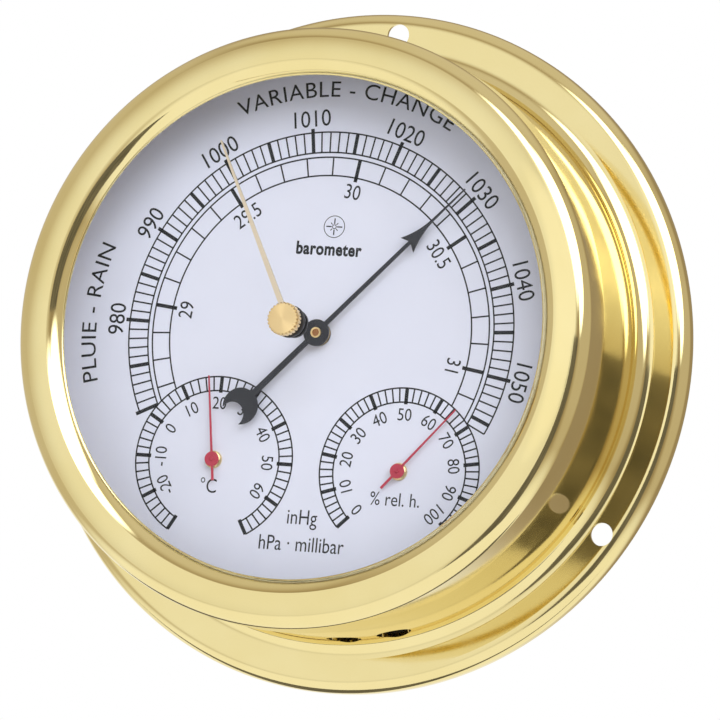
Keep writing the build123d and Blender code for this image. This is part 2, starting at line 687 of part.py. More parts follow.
with BuildPart() as bridge_bush:
    bore = 0.8 + RUNNING
    bush_low = BRIDGE_H - 0.3
    bush_top = BRIDGE_TOP + 0.7
    add(turned([(bore, bush_low), (2.0, bush_low), (2.0, bush_top), (bore, bush_top)]))
save(bridge_bush.part, "bridge_bush")

with BuildPart() as arbor_cock:
    add(block(-2.5, 9.0, -2.5, 2.5, 15.0, 16.0))
    add(block(7.6, 9.0, -2.5, 2.5, 15.0, BRIDGE_H))
    add(block(7.6, 14.0, -2.5, 2.5, BRIDGE_H - 1, BRIDGE_H))
    add(rod(BRIDGE_H - 1, BRIDGE_H, 1.0, COCK_SCREW_X, 0), mode=Mode.SUBTRACT)
    add(rod(15.0, 16.0, 0.35 + RUNNING, 0, 0), mode=Mode.SUBTRACT)
save(arbor_cock.part, "arbor_cock")

with BuildPart() as cock_screw:
    add(cheese_screw(COCK_SCREW_X, 0, BRIDGE_H - 1, BRIDGE_TOP - 0.2))
save(cock_screw.part, "cock_screw")

# ---------------------------------------------------------------- thermometer and hygrometer
CUP_LOW = 22.4
CUP_R = 8.5
CUP_WALL = 0.5
NEEDLE_H = 30.25
NEEDLE_T = 0.3
BOSS_TOP = NEEDLE_H - 0.15
ARBOR_R = 0.5
ARBOR_TOP = NEEDLE_H + NEEDLE_T + 0.2


def small_pointer(turn, x, tail):
    """A needle with a round hub and a short tail, on its own centre x of the small dials."""
    with BuildPart() as needle:
        with BuildSketch(face_plane(NEEDLE_H, x, SUB_Z, turn)):
            Circle(1.6)
            with BuildLine():
                Polyline((-0.26, -tail), (-0.24, 0), (-0.13, 18.2), (0.13, 18.2), (0.24, 0), (0.26, -tail),
                         close=True)
            make_face()
            Circle(ARBOR_R, mode=Mode.SUBTRACT)
        extrude(amount=NEEDLE_T)
    return needle.part


for name, side, turn, tail in (("thermometer", -1, (C_SHOWN - 20) * DEG_PER_C, 4.65),
                               ("hygrometer", 1, (RH_SHOWN - 50) * DEG_PER_RH, 5.1)):
    x = side * SUB_X
    with BuildPart() as boss:
        add(turned([(ARBOR_R + RUNNING, 26.4), (1.5, 26.4), (1.5, DIAL_H), (1.9, DIAL_H), (1.9, DIAL_H + 0.4),
                    (1.7, DIAL_H + 0.7), (1.3, BOSS_TOP), (ARBOR_R + RUNNING, BOSS_TOP)], x, SUB_Z))
    save(boss.part, name + "_boss")
    with BuildPart() as arbor:
        add(turned([(0, CUP_LOW + 0.1), (ARBOR_R, CUP_LOW + 0.1), (ARBOR_R, ARBOR_TOP - 0.15),
                    (ARBOR_R - 0.15, ARBOR_TOP), (0, ARBOR_TOP)], x, SUB_Z))
    save(arbor.part, name + "_arbor")
    with BuildPart() as pointer:
        add(small_pointer(turn, x, tail))
    save(pointer.part, name + "_pointer")
    with BuildPart() as cup:
        cup_in = CUP_R - CUP_WALL
        floor_top = CUP_LOW + CUP_WALL
        add(turned([(ARBOR_R + RUNNING, CUP_LOW), (CUP_R, CUP_LOW), (CUP_R, DIAL_BACK), (cup_in, DIAL_BACK),
                    (cup_in, floor_top), (ARBOR_R + RUNNING, floor_top)], x, SUB_Z))
    save(cup.part, name + "_cup")
    with BuildPart() as collet:
        add(turned([(ARBOR_R, 24.2), (1.1, 24.2), (1.1, 26.2), (ARBOR_R, 26.2)], x, SUB_Z))
    save(collet.part, name + "_collet")
    with BuildPart() as coil:
        add(spiral_strip(1.35, 7.5, 5, 0.3, 24.3, 26.1, x, SUB_Z, start=90))
    save(coil.part, name + "_coil")
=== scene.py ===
import json
from math import atan2, ceil, cos, degrees, hypot, radians, sin, sqrt, tau

import bmesh
import bpy
from mathutils import Matrix, Vector


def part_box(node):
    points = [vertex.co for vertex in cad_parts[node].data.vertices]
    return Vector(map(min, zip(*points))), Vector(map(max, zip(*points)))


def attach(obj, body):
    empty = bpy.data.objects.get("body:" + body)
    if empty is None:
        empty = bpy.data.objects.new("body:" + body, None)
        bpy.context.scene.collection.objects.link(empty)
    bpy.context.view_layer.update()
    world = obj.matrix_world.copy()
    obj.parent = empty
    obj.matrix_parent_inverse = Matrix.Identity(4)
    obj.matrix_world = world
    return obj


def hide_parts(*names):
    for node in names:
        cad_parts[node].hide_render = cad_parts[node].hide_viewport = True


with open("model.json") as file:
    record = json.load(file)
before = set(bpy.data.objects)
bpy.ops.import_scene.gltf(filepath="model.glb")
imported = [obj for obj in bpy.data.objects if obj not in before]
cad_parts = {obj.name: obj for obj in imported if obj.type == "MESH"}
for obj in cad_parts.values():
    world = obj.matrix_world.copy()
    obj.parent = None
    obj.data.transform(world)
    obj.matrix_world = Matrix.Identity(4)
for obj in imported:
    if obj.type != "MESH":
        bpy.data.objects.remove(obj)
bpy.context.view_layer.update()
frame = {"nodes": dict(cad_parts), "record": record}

# Wall aneroid barometer with a thermometer and a hygrometer.
#
# The dial faces -Y and 12 o'clock is +Z. Lengths are in millimetres until a mesh is made: h is the height
# off the wall, so that y = -h, and (r, h) is a point of a turned outline. Dial angles run clockwise from
# 12 o'clock.

MM = 0.001


def top_of(node):
    """Height of a node's front face off the wall, in millimetres."""
    return -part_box(node)[0].y / MM


def foot_of(node):
    """Height of a node's rear face off the wall, in millimetres."""
    return -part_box(node)[1].y / MM


def radius_of(node):
    """Outer radius of a round node about its own middle, in millimetres."""
    low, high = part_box(node)
    return (high.x - low.x) / 2 / MM


def middle_of(node):
    """The (x, z) of a node's middle, in millimetres."""
    low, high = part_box(node)
    return ((low.x + high.x) / 2 / MM, (low.z + high.z) / 2 / MM)


# ---------------------------------------------------------------- driving dimensions
SHEET = 0.8
FLANGE_R = radius_of("case_body")
FLANGE_H = 4.4
RIM_R = 3.3                     # rounding of the flange's outer edge
NECK_R = 64.0                   # drum
NECK_TOP = top_of("case_body")
COVE_R = 3.8                    # sweep from the drum into the flange
HOLE_CIRCLE_R = 70.0
HOLE_R = 2.5
HOLE_ANGLES = (90, 210, 330)    # degrees from +X towards +Z, before the turn
HOLE_TURN = 1.5                 # the drum sits this far round, clockwise, from the dial's 12 o'clock
VENT_R = 3.8
VENT_H = 10.6
VENT_ANGLES = (5.2, 15.5)       # from 6 o'clock towards 3 o'clock

BEZEL_R = radius_of("bezel")
BEZEL_REAR = foot_of("bezel")
SHOULDER_H = 40.2               # where the bezel's straight side ends
SHOULDER = (63.9, 41.95)        # (radius, height) on the rounding of the shoulder
CREASE = (62.0, 43.05)          # the crease between the shoulder and the front
CREST = (57.5, 43.75)
LIP = (54.3, 41.2)
BEZEL_IN = NECK_R + 0.05        # inner radius, a close fit on the drum
BEZEL_INNER_H = 39.6            # where the bezel's straight inside ends
BEZEL_EDGE_R = 0.3              # rounding of the rear edge

GLASS_R = radius_of("glass")
GLASS_TOP = 47.5
GLASS_T = 2.0
DOME_R = 205.0
GLASS_HOLE_R = 2.25

DIAL_H = top_of("dial_plate")
INK_T = 0.02                    # thickness of the print

KNOB_H = (50.0, top_of("set_knob"))
KNOB_R = 3.55
KNOB_FACE_R = 3.15
KNOB_NECK_R = 2.6
KNOB_NOTCHES = 26
NOTCH_DEPTH = 0.26
NOTCH_STEPS = 8                 # points round the knob for each notch

HPA_AT_TOP = 1013.0
DEG_PER_HPA = 2.7
HPA_RANGE = (970, 1056)
HPA_RINGS = (44.0, 39.55)
INHG_RINGS = (38.5, 34.5)
HPA_PER_INHG = 33.8639
INHG_TENTHS = (286, 312)        # first and last tick of the inch scale, in tenths of an inch

SUB_R = (18.05, 15.0)           # circles of the two small scales
CELSIUS = (-30, 70, 20, 3.0)    # lowest, highest and top value of the thermometer, degrees to one unit
HUMIDITY = (0, 100, 50, 2.7)    # the same of the hygrometer

TURN_STEPS = 256                # points round a turned piece
DRILL_STEPS = 64
ARC_STEP = radians(3)
AXIS_R = 1e-6                   # a smaller radius than this lies on the axis


# ---------------------------------------------------------------- turned meshes
def on(centre, radius, angle):
    """A point on a circle, its angle in degrees from the first axis towards the second."""
    return (centre[0] + radius * cos(radians(angle)), centre[1] + radius * sin(radians(angle)))


def circle_through(a, b, c):
    """Centre of the circle through three points."""
    d = 2 * (a[0] * (b[1] - c[1]) + b[0] * (c[1] - a[1]) + c[0] * (a[1] - b[1]))
    sa, sb, sc = (p[0] ** 2 + p[1] ** 2 for p in (a, b, c))
    return ((sa * (b[1] - c[1]) + sb * (c[1] - a[1]) + sc * (a[1] - b[1])) / d,
            (sa * (c[0] - b[0]) + sb * (a[0] - c[0]) + sc * (b[0] - a[0])) / d)


def line_run(a, b):
    """A straight stretch as (point, normal) pairs, the normal on the right of the way from a to b."""
    length = hypot(b[0] - a[0], b[1] - a[1])
    normal = ((b[1] - a[1]) / length, (a[0] - b[0]) / length)
    return [(a, normal), (b, normal)]


def arc_run(a, middle, b):
    """An arc from a through middle to b as (point, normal) pairs."""
    centre = circle_through(a, middle, b)
    radius = hypot(a[0] - centre[0], a[1] - centre[1])
    first, between, last = (atan2(p[1] - centre[1], p[0] - centre[0]) for p in (a, middle, b))
    sweep = (last - first) % tau
    if (between - first) % tau > sweep:
        sweep -= tau
    side = 1 if sweep > 0 else -1
    count = max(4, ceil(abs(sweep) / ARC_STEP))
    run = []
    for i in range(count + 1):
        angle = first + sweep * i / count
        run.append(((centre[0] + radius * cos(angle), centre[1] + radius * sin(angle)),
                    (side * cos(angle), side * sin(angle))))
    return run


def outline_runs(steps):
    """Runs of a closed outline that goes round with its outside on the right.

    A step is a point, for a straight stretch, or a pair of points, for an arc through the first to the
    second.
    """
    runs = []
    here = steps[0]
    for step in steps[1:] + steps[:1]:
        if isinstance(step[0], tuple):
            runs.append(arc_run(here, *step))
            here = step[1]
        elif step != here:
            runs.append(line_run(here, step))
            here = step
    return runs


def new_object(name, mesh, body):
    """An object in the scene that rides on a CAD body."""
    obj = bpy.data.objects.new(name, mesh)
    bpy.context.scene.collection.objects.link(obj)
    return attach(obj, body)


def lathe_mesh(name, runs):
    """A turned mesh of an outline's runs, with exact normals."""
    count = TURN_STEPS
    ring = []
    for run in runs:
        ring.extend(point for point, normal in run[:-1])
    verts = []
    first = []
    for r, h in ring:
        first.append(len(verts))
        for j in range(1 if r < AXIS_R else count):
            angle = tau * j / count
            verts.append((r * cos(angle) * MM, -h * MM, r * sin(angle) * MM))

    def vert(i, j):
        i %= len(ring)
        return first[i] + (0 if ring[i][0] < AXIS_R else j % count)

    faces = []
    normals = []
    i = 0
    for run in runs:
        for (_, n0), (_, n1) in zip(run[:-1], run[1:]):
            for j in range(count):
                corners = [(i, j, n0), (i, j + 1, n0), (i + 1, j + 1, n1), (i + 1, j, n1)]
                face = []
                for ci, cj, normal in corners:
                    v = vert(ci, cj)
                    if v in face:
                        continue
                    face.append(v)
                    angle = tau * cj / count
                    normals.append((normal[0] * cos(angle), -normal[1], normal[0] * sin(angle)))
                faces.append(face)
            i += 1
    mesh = bpy.data.meshes.new(name)
    mesh.from_pydata(verts, [], faces)
    mesh.polygons.foreach_set("use_smooth", [True] * len(faces))
    mesh.update()
    mesh.normals_split_custom_set(normals)
    return mesh


def lathe(name, body, steps):
    """A turned piece that rides on a CAD body."""
    return new_object(name, lathe_mesh(name, outline_runs(steps)), body)


# ---------------------------------------------------------------- materials
MIX_LOW, MIX_HIGH, MIX_RESULT = 6, 7, 2     # the colour sockets of a Mix node


class Nodes:
    """A material's nodes, made with short calls."""

    def __init__(self, name):
        self.material = bpy.data.materials.new(name)
        self.material.use_nodes = True
        self.tree = self.material.node_tree
        self.tree.nodes.clear()
        self.output = self.add("ShaderNodeOutputMaterial")
        self.place = self.add("ShaderNodeTexCoord").outputs["Object"]

    def add(self, kind, **values):
        """A new node with the given settings."""
        node = self.tree.nodes.new(kind)
        for key, value in values.items():
            setattr(node, key, value)
        return node

    def link(self, source, socket):
        self.tree.links.new(source, socket)

    def noise(self, scale, detail=3.0):
        """Noise of so many features to the metre."""
        node = self.add("ShaderNodeTexNoise")
        node.inputs["Scale"].default_value = scale
        node.inputs["Detail"].default_value = detail
        self.link(self.place, node.inputs["Vector"])
        return node.outputs["Fac"]

    def spread(self, source, low, high):
        """The middle half of a 0 to 1 value, spread from low to high."""
        node = self.add("ShaderNodeMapRange")
        node.inputs["From Min"].default_value = 0.3
        node.inputs["From Max"].default_value = 0.7
        node.inputs["To Min"].default_value = low
        node.inputs["To Max"].default_value = high
        self.link(source, node.inputs["Value"])
        return node.outputs["Result"]

    def mix(self, factor, low, high):
        """A colour between two as factor goes from 0 to 1."""
        node = self.add("ShaderNodeMix", data_type="RGBA")
        node.inputs[MIX_LOW].default_value = (*low, 1)
        node.inputs[MIX_HIGH].default_value = (*high, 1)
        self.link(factor, node.inputs[0])
        return node.outputs[MIX_RESULT]

    def bump(self, height, distance, under=None):
        """A normal bumped by a 0 to 1 height times a distance in metres."""
        node = self.add("ShaderNodeBump")
        node.inputs["Distance"].default_value = distance
        self.link(height, node.inputs["Height"])
        if under is not None:
            self.link(under, node.inputs["Normal"])
        return node.outputs["Normal"]

    def finish(self, shader):
        """The material, its surface made by a shader."""
        self.link(shader.outputs[0], self.output.inputs["Surface"])
        return self.material


def metal(name, low, high, rough, relief=2e-7, waves=0.0, spun=0.0):
    """A metal whose colour and roughness drift, with a fine grain and the slow waves of spun sheet.

    spun stretches its highlights across the marks of the lathe.
    """
    m = Nodes(name)
    shader = m.add("ShaderNodeBsdfPrincipled")
    shader.inputs["Metallic"].default_value = 1.0
    m.link(m.mix(m.spread(m.noise(45.0), 0.0, 1.0), low, high), shader.inputs["Base Color"])
    m.link(m.spread(m.noise(160.0, 5.0), *rough), shader.inputs["Roughness"])
    normal = m.bump(m.noise(700.0, 2.0), relief)
    if waves > 0:
        normal = m.bump(m.noise(28.0, 1.0), waves, normal)
    m.link(normal, shader.inputs["Normal"])
    if spun > 0:
        shader.inputs["Anisotropic"].default_value = spun
        round_axis = m.add("ShaderNodeTangent", direction_type="RADIAL", axis="Y")
        m.link(round_axis.outputs[0], shader.inputs["Tangent"])
    return m.finish(shader)


def paint(name, low, high, rough, relief=1e-6):
    """A paint, plastic or rubber with a fine grain."""
    m = Nodes(name)
    shader = m.add("ShaderNodeBsdfPrincipled")
    m.link(m.mix(m.spread(m.noise(120.0), 0.0, 1.0), low, high), shader.inputs["Base Color"])
    m.link(m.spread(m.noise(300.0, 4.0), *rough), shader.inputs["Roughness"])
    m.link(m.bump(m.noise(900.0), relief), shader.inputs["Normal"])
    return m.finish(shader)


def clear_glass():
    """Thin clear glass: it mirrors a little and lets everything else straight through."""
    m = Nodes("clear_glass")
    mirror = m.add("ShaderNodeBsdfGlossy")
    m.link(m.spread(m.noise(60.0), 0.0, 0.02), mirror.inputs["Roughness"])
    through = m.add("ShaderNodeBsdfTransparent")
    through.inputs["Color"].default_value = (0.99, 0.995, 0.995, 1)
    facing = m.add("ShaderNodeLayerWeight")
    facing.inputs["Blend"].default_value = 0.5
    power = m.add("ShaderNodeMath", operation="POWER")
    power.inputs[1].default_value = 5.0
    m.link(facing.outputs["Facing"], power.inputs[0])
    edge = m.add("ShaderNodeMapRange")
    edge.inputs["To Min"].default_value = 0.008
    edge.inputs["To Max"].default_value = 0.6
    m.link(power.outputs[0], edge.inputs["Value"])
    both = m.add("ShaderNodeMixShader")
    m.link(edge.outputs[0], both.inputs[0])
    m.link(through.outputs[0], both.inputs[1])
    m.link(mirror.outputs[0], both.inputs[2])
    return m.finish(both)


BRASS = metal("polished_brass", (0.83, 0.70, 0.33), (0.87, 0.75, 0.385), (0.045, 0.10), waves=9e-6)
SATIN_BRASS = metal("satin_brass", (0.76, 0.58, 0.25), (0.84, 0.68, 0.34), (0.25, 0.4), relief=4e-7)
KNOB_BRASS = metal("turned_brass", (0.84, 0.62, 0.30), (0.92, 0.72, 0.40), (0.24, 0.34), spun=0.8)
PALE_BRASS = metal("pale_brass", (0.70, 0.60, 0.45), (0.78, 0.68, 0.53), (0.3, 0.42))
BRONZE = metal("bronze", (0.36, 0.16, 0.07), (0.50, 0.25, 0.12), (0.25, 0.4))
STEEL = metal("steel", (0.50, 0.50, 0.51), (0.62, 0.62, 0.63), (0.22, 0.36))
SCREW_STEEL = metal("zinc_plated_steel", (0.48, 0.48, 0.50), (0.62, 0.62, 0.60), (0.25, 0.42))
SPRING_STEEL = metal("blued_spring_steel", (0.16, 0.19, 0.28), (0.26, 0.29, 0.38), (0.2, 0.32))
NICKEL = metal("nickel_silver", (0.60, 0.57, 0.50), (0.70, 0.67, 0.60), (0.2, 0.34))
DIAL_WHITE = paint("dial_enamel", (0.72, 0.745, 0.90), (0.74, 0.765, 0.92), (0.45, 0.55), relief=2e-7)
INK = paint("dial_ink", (0.006, 0.007, 0.012), (0.010, 0.012, 0.018), (0.6, 0.7), relief=2e-7)
BLACK_PAINT = paint("black_pointer_paint", (0.012, 0.014, 0.022), (0.020, 0.022, 0.032), (0.34, 0.46))
RED_PAINT = paint("red_pointer_paint", (0.44, 0.026, 0.062), (0.52, 0.034, 0.075), (0.3, 0.42))
BLACK_POLYMER = paint("black_polymer", (0.020, 0.020, 0.023), (0.032, 0.032, 0.036), (0.4, 0.55))
RUBBER = paint("rubber", (0.030, 0.030, 0.030), (0.045, 0.045, 0.045), (0.6, 0.75), relief=4e-6)
BACK_PAINT = paint("back_plate_paint", (0.10, 0.10, 0.11), (0.14, 0.14, 0.15), (0.45, 0.6), relief=6e-6)
GLASS = clear_glass()

# The material of each slot named in the record.
BY_SLOT = {
    "polished_brass": BRASS, "satin_brass": SATIN_BRASS, "knob_brass": KNOB_BRASS, "glass": GLASS,
    "dial_white": DIAL_WHITE, "black_paint": BLACK_PAINT, "red_paint": RED_PAINT, "steel": STEEL,
    "screw_steel": SCREW_STEEL, "spring_steel": SPRING_STEEL, "capsule_metal": NICKEL,
    "black_polymer": BLACK_POLYMER, "rubber": RUBBER, "back_plate": BACK_PAINT, "bronze": BRONZE,
}


def clothe(obj, material):
    """Gives an object one material."""
    obj.data.materials.clear()
    obj.data.materials.append(material)


for part in frame["record"]["subparts"]:
    clothe(frame["nodes"][part["node"]], BY_SLOT[part["material_slot"]])
clothe(frame["nodes"]["set_hand"], PALE_BRASS)
# The ends of these two arbors are painted with their needles.
for side in ("thermometer", "hygrometer"):
    clothe(frame["nodes"][side + "_arbor"], RED_PAINT)


# ---------------------------------------------------------------- case
def case_steps():
    """Outline of the drum, the sweep into the flange and the flange with its rolled rim."""
    rim = (FLANGE_R - RIM_R, FLANGE_H - RIM_R)
    cove = (NECK_R + COVE_R, FLANGE_H + COVE_R)
    inside = NECK_R - SHEET
    return [
        (FLANGE_R - SHEET, 0.0), (FLANGE_R, 0.0), (FLANGE_R, rim[1]),
        (on(rim, RIM_R, 45), (rim[0], FLANGE_H)), (cove[0], FLANGE_H),
        (on(cove, COVE_R, 225), (NECK_R, cove[1])), (NECK_R, NECK_TOP), (inside, NECK_TOP), (inside, cove[1]),
        (on(cove, COVE_R + SHEET, 225), (cove[0], FLANGE_H - SHEET)), (rim[0], FLANGE_H - SHEET),
        (on(rim, RIM_R - SHEET, 45), (FLANGE_R - SHEET, rim[1])),
    ]


def drill(radius, start, end):
    """A round cutter from one point to another, and its axis."""
    way = end - start
    turn = way.to_track_quat("Z", "Y").to_matrix().to_4x4()
    bm = bmesh.new()
    bmesh.ops.create_cone(bm, cap_ends=True, segments=DRILL_STEPS, radius1=radius, radius2=radius,
                          depth=way.length, matrix=Matrix.Translation((start + end) / 2) @ turn)
    mesh = bpy.data.meshes.new("cutter")
    bm.to_mesh(mesh)
    bm.free()
    obj = bpy.data.objects.new("cutter", mesh)
    bpy.context.scene.collection.objects.link(obj)
    return obj, (start, way.normalized())


NEAR_SURFACE = 0.02             # a point closer than this, in millimetres, lies on the turned surface
SAME_WAY = 0.8                  # least cosine between a face and the surface it belongs to


def turned_normal(runs, point, facing):
    """Normal of a turned surface at a point of a face that faces that way, or None off the surface."""
    r = hypot(point.x, point.z) / MM
    h = -point.y / MM
    outward = Vector((point.x, 0, point.z)).normalized()
    best = NEAR_SURFACE
    found = None
    for run in runs:
        for (a, n0), (b, n1) in zip(run[:-1], run[1:]):
            ux, uh = b[0] - a[0], b[1] - a[1]
            t = ((r - a[0]) * ux + (h - a[1]) * uh) / (ux * ux + uh * uh)
            t = min(1.0, max(0.0, t))
            gap = hypot(r - a[0] - ux * t, h - a[1] - uh * t)
            if gap < best:
                nr, nh = n0[0] + (n1[0] - n0[0]) * t, n0[1] + (n1[1] - n0[1]) * t
                normal = outward * nr + Vector((0, -nh, 0))
                if normal.dot(facing) > SAME_WAY:
                    best = gap
                    found = normal.normalized()
    return found


def drilled_mesh(obj, runs, drills):
    """obj's mesh with round holes, its normals exact again beside each hole."""
    axes = []
    for radius, start, end in drills:
        cutter, axis = drill(radius, start, end)
        axes.append(axis)
        cut = obj.modifiers.new("hole", "BOOLEAN")
        cut.operation = "DIFFERENCE"
        cut.solver = "EXACT"
        cut.object = cutter
    graph = bpy.context.evaluated_depsgraph_get()
    mesh = bpy.data.meshes.new_from_object(obj.evaluated_get(graph))
    for cut in list(obj.modifiers):
        cutter = cut.object
        obj.modifiers.remove(cut)
        bpy.data.objects.remove(cutter)
    known = {}
    normals = []
    for face in mesh.polygons:
        facing = face.normal
        for v in face.vertices:
            point = mesh.vertices[v].co
            key = (round(hypot(point.x, point.z), 7), round(point.y, 7),
                   round(hypot(facing.x, facing.z), 2), round(facing.y, 2),
                   facing.x * point.x + facing.z * point.z > 0)
            normal = None
            if key in known:
                flat = known[key]
                if flat is not None:
                    outward = Vector((point.x, 0, point.z)).normalized()
                    normal = outward * flat[0] + Vector((0, flat[1], 0))
            else:
                normal = turned_normal(runs, point, facing)
                outward = Vector((point.x, 0, point.z)).normalized()
                known[key] = None if normal is None else (normal.dot(outward), normal.y)
            if normal is None:
                normal = hole_normal(axes, point, facing)
            normals.append(normal)
    mesh.polygons.foreach_set("use_smooth", [True] * len(mesh.polygons))
    mesh.normals_split_custom_set(normals)
    return mesh


def hole_normal(axes, point, facing):
    """Normal of the wall of the nearest hole."""
    nearest = None
    for start, way in axes:
        off = (point - start) - way * (point - start).dot(way)
        if nearest is None or off.length < nearest.length:
            nearest = off
    nearest = nearest.normalized()
    return -nearest if nearest.dot(facing) < 0 else nearest


DRILL_PAST = (2.0, 1.0)         # how far a flange hole's cutter reaches behind the wall and before the flange
VENT_REACH = 5.0                # how far a vent's cutter reaches either side of the drum's wall


def make_case():
    """The drum and flange with three screw holes and two vents."""
    runs = outline_runs(case_steps())
    case = new_object("brass_case", lathe_mesh("brass_case", runs), "case")
    drills = []
    for angle in HOLE_ANGLES:
        x, z = on((0, 0), HOLE_CIRCLE_R, angle - HOLE_TURN)
        behind = Vector((x * MM, DRILL_PAST[0] * MM, z * MM))
        before = Vector((x * MM, -(FLANGE_H + DRILL_PAST[1]) * MM, z * MM))
        drills.append((HOLE_R * MM, behind, before))
    for angle in VENT_ANGLES:
        out = Vector((sin(radians(angle)), 0, -cos(radians(angle))))
        height = Vector((0, -VENT_H * MM, 0))
        inner, outer = (height + out * (NECK_R + side * VENT_REACH) * MM for side in (-1, 1))
        drills.append((VENT_R * MM, inner, outer))
    case.data = drilled_mesh(case, runs, drills)
    clothe(case, BRASS)
    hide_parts("case_body")


def make_bezel():
    """The bezel: straight outside, rounded shoulder, crease, crest and lip, then back under the skin."""
    edge = (BEZEL_R - BEZEL_EDGE_R, BEZEL_REAR + BEZEL_EDGE_R)
    lip_top = (LIP[0] + 0.35, LIP[1] + 0.5)
    lip_under = (LIP[0] + 0.5, LIP[1] - 0.4)
    steps = [
        (BEZEL_IN, BEZEL_INNER_H), (BEZEL_IN, BEZEL_REAR), (edge[0], BEZEL_REAR),
        (on(edge, BEZEL_EDGE_R, -45), (BEZEL_R, edge[1])), (BEZEL_R, SHOULDER_H),
        (SHOULDER, CREASE), ((59.8, 43.5), CREST), ((55.95, 42.95), lip_top), (LIP, lip_under),
        (56.6, 42.25), ((57.1, 42.65), (57.7, 42.85)), ((59.8, 42.65), (61.7, 42.2)),
        ((63.2, 41.2), (BEZEL_IN, BEZEL_INNER_H)),
    ]
    bezel = lathe("brass_bezel", "case", steps)
    clothe(bezel, BRASS)
    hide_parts("bezel")


def dome_arc(sphere, crown):
    """First, middle and last point of a dome's outline, from the hole to the edge of the glass."""
    return [(r, crown - sphere + sqrt(sphere ** 2 - r ** 2)) for r in (GLASS_HOLE_R, GLASS_R / 2, GLASS_R)]


def make_glass():
    """The domed glass, equally thick all over, with a hole in the middle."""
    outer = dome_arc(DOME_R, GLASS_TOP)
    inner = dome_arc(DOME_R - GLASS_T, GLASS_TOP - GLASS_T)
    steps = [inner[0], (inner[1], inner[2]), outer[2], (outer[1], outer[0])]
    glass = lathe("domed_glass", "case", steps)
    clothe(glass, GLASS)
    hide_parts("glass")


# ---------------------------------------------------------------- dial print
def clock(radius, angle):
    """A point (x, z) at an angle clockwise from 12 o'clock."""
    return (radius * sin(radians(angle)), radius * cos(radians(angle)))


class Print:
    """Flat ink on the dial, gathered in one mesh about a centre (x, z)."""

    def __init__(self):
        self.bm = bmesh.new()
        self.centre = (0.0, 0.0)

    def corner(self, x, z):
        """A point on the face of the print."""
        x += self.centre[0]
        z += self.centre[1]
        return self.bm.verts.new((x * MM, -(DIAL_H + INK_T) * MM, z * MM))

    def face(self, points):
        """A flat patch of ink with these corners (x, z)."""
        self.bm.faces.new([self.corner(x, z) for x, z in points])

    def bar(self, angle, r0, r1, width):
        """A radial tick."""
        side = clock(width / 2, angle + 90)
        a, b = clock(r0, angle), clock(r1, angle)
        self.face([(a[0] - side[0], a[1] - side[1]), (b[0] - side[0], b[1] - side[1]),
                   (b[0] + side[0], b[1] + side[1]), (a[0] + side[0], a[1] + side[1])])

    def band(self, radius, width, start, end):
        """A thin circle or part of one, from one dial angle to another."""
        count = max(8, ceil(abs(end - start) / 2))
        for i in range(count):
            a = start + (end - start) * i / count
            b = start + (end - start) * (i + 1) / count
            self.face([clock(radius - width / 2, a), clock(radius + width / 2, a),
                       clock(radius + width / 2, b), clock(radius - width / 2, b)])

    def word(self, text, letters, place, bold=0.0, spacing=1.0):
        """Text centred and then set by place((x, z)); letters holds its cap height and width."""
        height, width = letters
        curve = bpy.data.curves.new("text", "FONT")
        curve.body = text
        curve.size = 1.0
        curve.offset = bold
        curve.space_character = spacing
        curve.resolution_u = 4
        obj = bpy.data.objects.new("text", curve)
        bpy.context.scene.collection.objects.link(obj)
        graph = bpy.context.evaluated_depsgraph_get()
        mesh = bpy.data.meshes.new_from_object(obj.evaluated_get(graph))
        bpy.data.objects.remove(obj)
        xs = [v.co.x for v in mesh.vertices]
        middle = (min(xs) + max(xs)) / 2
        scale = height / CAP_HEIGHT
        corners = []
        for v in mesh.vertices:
            corners.append(self.corner(*place(((v.co.x - middle) * scale * width,
                                               (v.co.y - CAP_HEIGHT / 2) * scale))))
        for face in mesh.polygons:
            self.bm.faces.new([corners[i] for i in face.vertices])
        bpy.data.meshes.remove(mesh)

    def finish(self, name):
        """The print as a thin solid that lies on the dial."""
        bmesh.ops.remove_doubles(self.bm, verts=self.bm.verts, dist=1e-7)
        mesh = bpy.data.meshes.new(name)
        self.bm.normal_update()
        for face in self.bm.faces:
            if face.normal.y > 0:
                face.normal_flip()
        made = bmesh.ops.extrude_face_region(self.bm, geom=list(self.bm.faces), use_keep_orig=True)
        moved = [g for g in made["geom"] if isinstance(g, bmesh.types.BMVert)]
        bmesh.ops.translate(self.bm, vec=(0, INK_T * MM, 0), verts=moved)
        self.bm.to_mesh(mesh)
        self.bm.free()
        obj = new_object(name, mesh, "case")
        clothe(obj, INK)


CAP_HEIGHT = 0.72               # of the built-in typeface, for a size of 1


def radial(radius, angle):
    """Sets text across a radius, its top outwards."""
    turn = radians(angle)

    def place(point):
        x, z = point[0], point[1] + radius
        return (x * cos(turn) + z * sin(turn), -x * sin(turn) + z * cos(turn))
    return place


def curved(radius, angle):
    """Sets text round a circle, its top outwards."""
    def place(point):
        return clock(radius + point[1], angle + degrees(point[0] / radius))
    return place


def level(x, z):
    """Sets text upright at a place."""
    return lambda point: (x + point[0], z + point[1])


